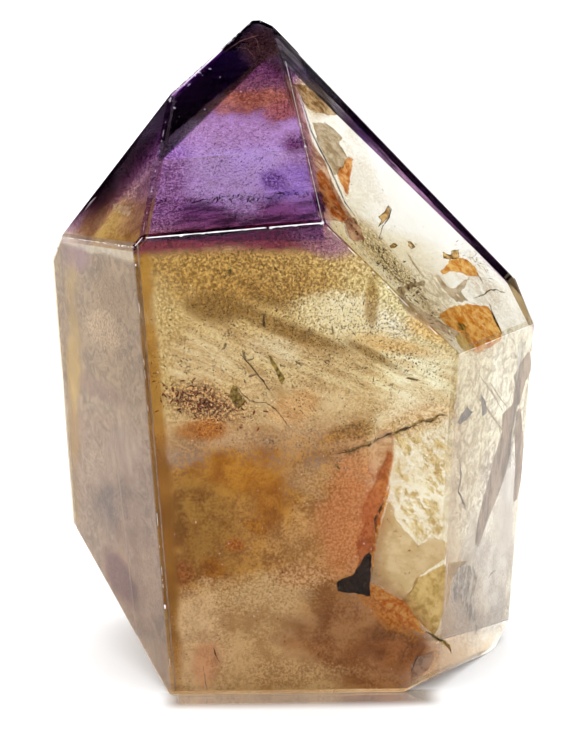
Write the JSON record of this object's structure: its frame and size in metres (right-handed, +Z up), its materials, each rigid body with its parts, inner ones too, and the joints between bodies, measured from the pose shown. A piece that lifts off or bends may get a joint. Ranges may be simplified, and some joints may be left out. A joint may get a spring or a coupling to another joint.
{
  "type": "polished quartz point",
  "caption": "Standing polished quartz point: a flattened six-sided crystal with a slanting purple tip and a golden brown, veiled body on a flat ground foot.",
  "frame": {"origin": "on the floor under the middle of the stone's bounding box", "axes": "+Z up along the crystal, towards its tip; -Y out of the broad front face; +X towards the side with the lower shoulder"},
  "size_m": [0.0683, 0.0404, 0.09],
  "materials": {
    "quartz": "high hand polish on natural quartz: clear to cloudy, golden brown body and purple tip"
  },
  "bodies": {
    "root": {"quartz_point": "quartz"}
  },
  "joints": []
}
